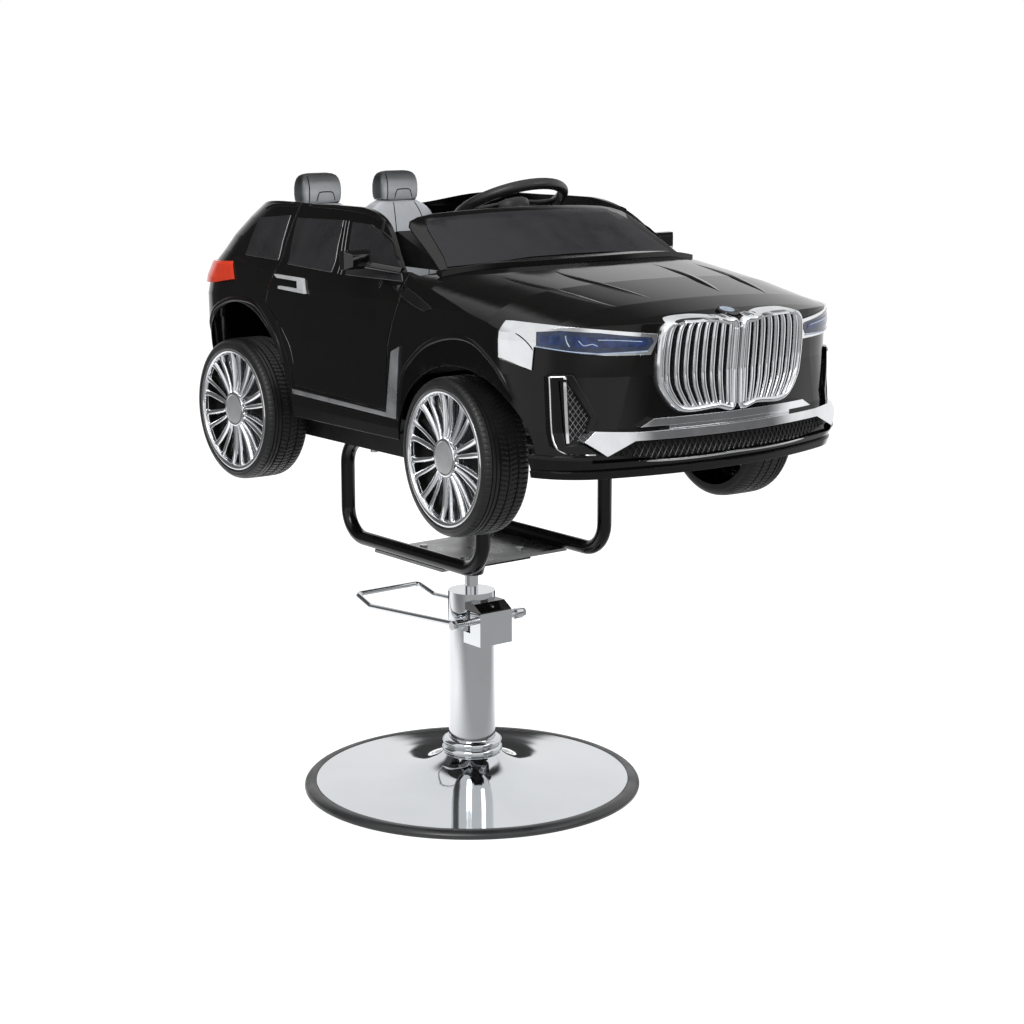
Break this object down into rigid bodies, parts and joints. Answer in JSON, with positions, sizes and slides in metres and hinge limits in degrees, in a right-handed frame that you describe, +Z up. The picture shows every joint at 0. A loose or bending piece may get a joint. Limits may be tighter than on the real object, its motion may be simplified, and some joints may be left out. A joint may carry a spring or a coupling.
{
  "type": "kids car barber chair",
  "caption": "Children's hydraulic salon chair with a steerable toy car body on a tube frame and a round pump base.",
  "frame": {"origin": "centre of the base's underside on the floor, on the pump's axis", "axes": "+Z up along the pump column; the car's front faces -Y and its right side is at -X"},
  "size_m": [0.696, 1.121, 1.076],
  "materials": {
    "base_steel": "satin",
    "black_rubber": "matte",
    "chrome": "polished",
    "steel": "satin",
    "dark_steel": "satin",
    "black_plastic": "matte",
    "black_metal": "gloss",
    "grey_metal": "satin",
    "gloss_black": "gloss",
    "window_dark": "satin",
    "grey_plastic": "satin",
    "seat_grey": "satin",
    "chrome_plastic": "polished",
    "lamp_lens": "gloss",
    "mesh_black": "gloss",
    "tail_red": "gloss",
    "tyre": "matte"
  },
  "bodies": {
    "base": {"base_plate": "base_steel", "base_ring": "black_rubber", "base_cover": "chrome", "flange_bolts": "steel", "column_collar": "chrome", "pump_sleeve": "chrome", "pump_cylinder": "dark_steel", "pump_gland": "chrome", "valve_block": "dark_steel", "valve_cover": "chrome", "pump_top_cap": "black_plastic"},
    "pedal": {"pedal_loop": "chrome", "pedal_shaft": "steel"},
    "plunger": {"pump_plunger": "steel"},
    "lift": {"piston_head": "steel", "piston_seal": "black_rubber", "piston_rod": "chrome"},
    "car": {"taper_socket": "black_metal", "mount_plate": "grey_metal", "frame_loop_left": "black_metal", "frame_loop_right": "black_metal", "frame_bolts": "steel", "chassis": "black_plastic", "body_shell": "gloss_black", "rear_windows": "window_dark", "seat_bench": "seat_grey", "dashboard": "black_plastic", "grille_frame": "chrome_plastic", "grille_slats": "chrome_plastic", "headlights": "lamp_lens", "intake_frames": "chrome_plastic", "bumper_bar": "chrome_plastic", "lower_grille": "mesh_black", "lower_lip": "gloss_black", "windshield": "window_dark", "cowl_bar": "gloss_black", "badge_disc": "chrome_plastic", "side_trims": "chrome_plastic", "tail_lights": "tail_red", "rear_axle": "dark_steel"},
    "steering": {"steering_wheel": "black_plastic", "steering_column": "dark_steel"},
    "horn": {"horn_button": "grey_plastic"},
    "tie": {"tie_rod": "dark_steel"},
    "knuckle_left": {"knuckle_left": "dark_steel"},
    "wheel_front_left": {"tyre_front_left": "tyre", "rim_front_left": "chrome_plastic"},
    "wheel_rear_left": {"tyre_rear_left": "tyre", "rim_rear_left": "chrome_plastic"},
    "door_left": {"door_left": "gloss_black", "door_handle_left": "chrome_plastic", "door_mirror_left": "gloss_black"},
    "knuckle_right": {"knuckle_right": "dark_steel"},
    "wheel_front_right": {"tyre_front_right": "tyre", "rim_front_right": "chrome_plastic"},
    "wheel_rear_right": {"tyre_rear_right": "tyre", "rim_rear_right": "chrome_plastic"},
    "door_right": {"door_right": "gloss_black", "door_handle_right": "chrome_plastic", "door_mirror_right": "gloss_black"}
  },
  "joints": [
    {"name": "pedal_hinge", "type": "hinge", "parent": "base", "child": "pedal", "pos_m": [0, -0.048, 0.312], "axis": [1, 0, 0], "range_deg": [-22, 0], "stiffness_Nm_per_rad": 6, "springref_deg": 20.05},
    {"name": "pump_stroke", "type": "slide", "parent": "base", "child": "plunger", "axis": [0, 0, 1], "range_m": [0, 0.006]},
    {"name": "seat_lift", "type": "slide", "parent": "base", "child": "lift", "axis": [0, 0, 1], "range_m": [0, 0.13]},
    {"name": "seat_swivel", "type": "hinge", "parent": "lift", "child": "car", "pos_m": [0, 0, 0.4], "axis": [0, 0, 1], "continuous": true},
    {"name": "steering", "type": "hinge", "parent": "car", "child": "steering", "pos_m": [0.084, -0.002, 1.024], "axis": [0, 0.4384, 0.8988], "range_deg": [-12, 26]},
    {"name": "horn_press", "type": "slide", "parent": "steering", "child": "horn", "axis": [0, 0.4384, 0.8988], "range_m": [-0.002, 0], "stiffness_N_per_m": 800, "springref_m": 0.0008},
    {"name": "tie_slide", "type": "slide", "parent": "car", "child": "tie", "axis": [1, 0, 0], "range_m": [-0.02, 0.02]},
    {"name": "kingpin_left", "type": "hinge", "parent": "car", "child": "knuckle_left", "pos_m": [0.218, -0.35275, 0.6744], "axis": [0, 0, 1], "range_deg": [-7.5, 16.5]},
    {"name": "spin_front_left", "type": "hinge", "parent": "knuckle_left", "child": "wheel_front_left", "pos_m": [0.218, -0.35275, 0.6744], "axis": [0.9972, -0.075, 0], "continuous": true},
    {"name": "spin_rear_left", "type": "hinge", "parent": "car", "child": "wheel_rear_left", "pos_m": [0.218, 0.2716, 0.6744], "axis": [1, 0, 0], "continuous": true},
    {"name": "door_hinge_left", "type": "hinge", "parent": "car", "child": "door_left", "pos_m": [0.297, -0.159, 0.814], "axis": [0, 0, -1], "range_deg": [0, 55]},
    {"name": "kingpin_right", "type": "hinge", "parent": "car", "child": "knuckle_right", "pos_m": [-0.218, -0.35275, 0.6744], "axis": [0, 0, 1], "range_deg": [-7.5, 16.5]},
    {"name": "spin_front_right", "type": "hinge", "parent": "knuckle_right", "child": "wheel_front_right", "pos_m": [-0.218, -0.35275, 0.6744], "axis": [0.9972, -0.075, 0], "continuous": true},
    {"name": "spin_rear_right", "type": "hinge", "parent": "car", "child": "wheel_rear_right", "pos_m": [-0.218, 0.2716, 0.6744], "axis": [1, 0, 0], "continuous": true},
    {"name": "door_hinge_right", "type": "hinge", "parent": "car", "child": "door_right", "pos_m": [-0.297, -0.159, 0.814], "axis": [0, 0, 1], "range_deg": [0, 55]}
  ],
  "couplings": [
    {"joint": "pump_stroke", "follows": "pedal_hinge", "m_per_rad": -0.0125},
    {"joint": "tie_slide", "follows": "steering", "m_per_rad": 0.0293},
    {"joint": "kingpin_left", "follows": "steering", "ratio": 0.6},
    {"joint": "kingpin_right", "follows": "steering", "ratio": 0.6}
  ]
}
